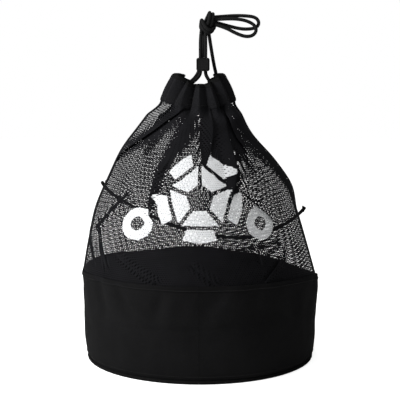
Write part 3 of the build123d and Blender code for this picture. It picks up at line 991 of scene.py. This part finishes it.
STRAND_ROUTES = {
    "strand_left_front": [
        (-0.033, -0.0034, 0.451), (-0.015, -0.004, 0.460), (0.0008, -0.004, 0.4745), (0.001, -0.004, 0.487),
        (0.0007, -0.004, 0.512), (0.0008, -0.004, 0.539), (0.0033, -0.002, 0.556),
    ],
    "strand_left_rear": [
        (-0.033, 0.0034, 0.451), (-0.019, 0.009, 0.461), (-0.003, 0.0135, 0.476), (0.005, 0.0135, 0.506),
        (0.007, 0.012, 0.553),
    ],
    "strand_right_front": [
        (0.033, -0.0034, 0.451), (0.020, -0.004, 0.460), (0.0092, -0.004, 0.4745), (0.009, -0.004, 0.487),
        (0.0093, -0.004, 0.512), (0.0092, -0.004, 0.553),
    ],
    "strand_right_rear": [
        (0.033, 0.0034, 0.451), (0.0285, 0.010, 0.470), (0.021, 0.0135, 0.503), (0.0135, 0.012, 0.553),
    ],
}
TAIL_ROUTES = {
    "tail_loop_upper": [
        (0.024, 0.006, 0.571), (0.054, 0.006, 0.5735), (0.078, 0.005, 0.573), (0.093, 0.005, 0.5705),
        (0.0985, 0.005, 0.5625), (0.096, 0.005, 0.555), (0.087, 0.006, 0.5515), (0.070, 0.006, 0.551),
        (0.050, 0.007, 0.5555), (0.024, 0.008, 0.563),
    ],
    "tail_loop_lower": [
        (0.024, -0.002, 0.5665), (0.046, -0.003, 0.568), (0.066, -0.003, 0.567), (0.080, -0.003, 0.5635),
        (0.091, -0.003, 0.557), (0.094, -0.003, 0.548), (0.088, -0.003, 0.540), (0.076, -0.004, 0.538),
        (0.060, -0.004, 0.5435), (0.042, -0.004, 0.5535), (0.024, -0.004, 0.5585),
    ],
}
CARRY_ROUTE = [
    (-0.166, 0.010, 0.294), (-0.163, 0.055, 0.276), (-0.140, 0.118, 0.250), (-0.097, 0.166, 0.218),
    (-0.042, 0.196, 0.190), (0.015, 0.204, 0.174), (0.072, 0.193, 0.169), (0.119, 0.163, 0.182),
    (0.156, 0.115, 0.208), (0.175, 0.061, 0.234), (0.178, 0.010, 0.250),
]


# The knot: two cords side by side follow one path, up the back, over the top, down the
# front, round to the left, and across the front again before they leave as loops.
KNOT_ROUTE = [
    (0.0070, 0.004, 0.541), (0.008, 0.008, 0.552), (0.012, 0.010, 0.564), (0.018, 0.006, 0.5755),
    (0.019, -0.004, 0.5775), (0.0185, -0.009, 0.569), (0.016, -0.009, 0.558), (0.010, -0.004, 0.550),
    (0.003, 0.004, 0.550), (0.0015, 0.005, 0.558), (0.002, -0.002, 0.5640), (0.0035, -0.0085, 0.559),
    (0.009, -0.0120, 0.5495), (0.0175, -0.010, 0.5460), (0.0235, 0.000, 0.5515), (0.020, 0.006, 0.559),
    (0.026, 0.003, 0.565),
]
# Inside the wraps the cords fill the knot.
KNOT_CORE_ROUTE = [
    (0.0065, 0.002, 0.543), (0.009, 0.001, 0.554), (0.015, 0.000, 0.562), (0.027, 0.001, 0.5645),
]
KNOT_MIDDLE = Vector((0.0120, 0.001, 0.5600))


def paired_lines(route, gap):
    """Two lines side by side on the knot's surface, gap apart."""
    line = smooth_line(route)
    first, second = [], []
    for index, place in enumerate(line):
        direction = line[min(index + 1, len(line) - 1)] - line[max(index - 1, 0)]
        outward = place - KNOT_MIDDLE
        aside = direction.cross(outward).normalized() * (gap / 2)
        first.append(place + aside)
        second.append(place - aside)
    return first, second


def tie_knot():
    verts, faces, uvs = [], [], []
    lines = [*paired_lines(KNOT_ROUTE, 0.0058), *paired_lines(KNOT_CORE_ROUTE, 0.0064)]
    for line in lines:
        more_verts, more_faces, more_uvs, _, _ = braided_tube(line, CORD_DIAMETER / 2 * 1.03)
        start = len(verts)
        verts.extend(more_verts)
        uvs.extend(more_uvs)
        faces.extend(tuple(start + index for index in face) for face in more_faces)
    knot = make_piece("overhand_knot", verts, faces, uvs, (CORD_YARN,))
    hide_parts("knot")
    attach(knot, "drawcord_tail")
    return knot


knot = tie_knot()
for name, route in STRAND_ROUTES.items():
    cord_piece(name + "_cord", route, "drawcord_tail", name)
for name, route in TAIL_ROUTES.items():
    cord_piece(name + "_cord", route, "drawcord_tail", name)
cord_piece("carry_cord_line", CARRY_ROUTE, "carry_cord", "carry_cord")


def channel_cord(name, side, node):
    """Half of the drawcord, inside the collar's casing."""
    low, high = math.radians(8), math.radians(172)
    line = []
    for share in np.linspace(low, high, 90):
        turned = np.array(math.pi / 2 + side * share)
        line.append(Vector(collar_position(turned, 0.42, 0.0042)))
    verts, faces, uvs, _, _ = braided_tube(line, 0.0028, 0.0014)
    cord = make_piece(name, verts, faces, uvs, (CORD_YARN,))
    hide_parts(node)
    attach(cord, "collar")


channel_cord("channel_cord_front", -1, "drawcord_front")
channel_cord("channel_cord_back", 1, "drawcord_back")


# ---- pieces kept from the frame
def repaint(node, material):
    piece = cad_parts[node]
    piece.data.materials.clear()
    piece.data.materials.append(material)


repaint("base_panel", PANEL_CLOTH)
repaint("lock_barrel", PLASTIC)
repaint("lock_plunger", PLASTIC)
repaint("lock_spring", SPRING_WIRE)


def carry_tab(name, node):
    """Folded webbing tab that holds an end of the carry cord."""
    low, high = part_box(node)
    middle = (low + high) / 2
    size = high - low
    outward = math.copysign(1, middle.x)
    inner = min(low.x, high.x, key=abs)
    points, uvs = [], []
    across, around = 9, 28
    for column in range(across):
        share = column / (across - 1)
        y = low.y + 0.001 + (size.y - 0.001) * share
        pinch = 1 - 0.10 * math.sin(math.pi * share)
        for index in range(around):
            turn = 2 * math.pi * index / around
            flat = abs(math.cos(turn)) ** 0.45 * math.copysign(1, math.cos(turn))
            tall = abs(math.sin(turn)) ** 0.7 * math.copysign(1, math.sin(turn))
            x = inner + outward * (0.0018 + flat * 0.0016 * pinch)
            points.append((x, y, middle.z + tall * size.z * 0.30))
            uvs.append((y, turn * 0.006))
    faces = grid_faces(around, across, True)
    faces.append(tuple(reversed(range(around))))
    faces.append(tuple((across - 1) * around + index for index in range(around)))
    tab = make_piece(name, points, faces, uvs, (TAPE,))
    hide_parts(node)
    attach(tab, "root")


carry_tab("webbing_tab_left", "carry_tab_left")
carry_tab("webbing_tab_right", "carry_tab_right")


# ---- floor, light, camera
def add_floor():
    size = 6.0
    floor = make_piece("floor", [(-size, -size, 0), (size, -size, 0), (size, size, 0), (-size, size, 0)],
                       [(0, 1, 2, 3)], None, (), None, False)
    material, tree, shader = new_material("pale floor", 0.9, 0.1)
    shader.inputs["Base Color"].default_value = (0.93, 0.93, 0.93, 1)
    shader.inputs["Emission Color"].default_value = (1, 1, 1, 1)
    seen = tree.nodes.new("ShaderNodeLightPath")
    glow = maths(tree, "MULTIPLY", seen.outputs["Is Camera Ray"], 0.8)
    tree.links.new(glow, shader.inputs["Emission Strength"])
    floor.data.materials.append(material)


def add_light(name, place, aim, size, power):
    data = bpy.data.lights.new(name, "AREA")
    data.shape = "DISK"
    data.size = size
    data.energy = power
    light = bpy.data.objects.new(name, data)
    light.location = place
    light.rotation_euler = (Vector(aim) - Vector(place)).to_track_quat("-Z", "Y").to_euler()
    bpy.context.collection.objects.link(light)


def add_world():
    """A white backdrop to look at, with a dimmer glow all round to light by."""
    world = bpy.data.worlds.new("white studio")
    world.use_nodes = True
    tree = world.node_tree
    background = tree.nodes["Background"]
    background.inputs["Color"].default_value = (1, 1, 1, 1)
    seen = tree.nodes.new("ShaderNodeLightPath")
    level = tree.nodes.new("ShaderNodeMapRange")
    level.inputs["To Min"].default_value = 0.28
    level.inputs["To Max"].default_value = 1.0
    tree.links.new(seen.outputs["Is Camera Ray"], level.inputs["Value"])
    tree.links.new(level.outputs[0], background.inputs["Strength"])
    bpy.context.scene.world = world


CAMERA_PLACE = (0.0, -1.775, 0.475)
CAMERA_AIM = Vector((0, 0, 0.265))


def add_camera():
    data = bpy.data.cameras.new("camera")
    data.lens = 95.0
    data.sensor_width = 36.0
    camera = bpy.data.objects.new("camera", data)
    camera.location = CAMERA_PLACE
    camera.rotation_euler = (CAMERA_AIM - camera.location).to_track_quat("-Z", "Y").to_euler()
    bpy.context.collection.objects.link(camera)
    bpy.context.scene.camera = camera


add_floor()
add_world()
add_light("left soft box", (-2.0, -1.1, 1.2), (0, 0, 0.2), 1.1, 80)
add_light("top soft box", (-0.3, -0.3, 2.4), (0, 0, 0.2), 1.6, 16)
add_camera()
bpy.context.scene.view_settings.view_transform = "Standard"
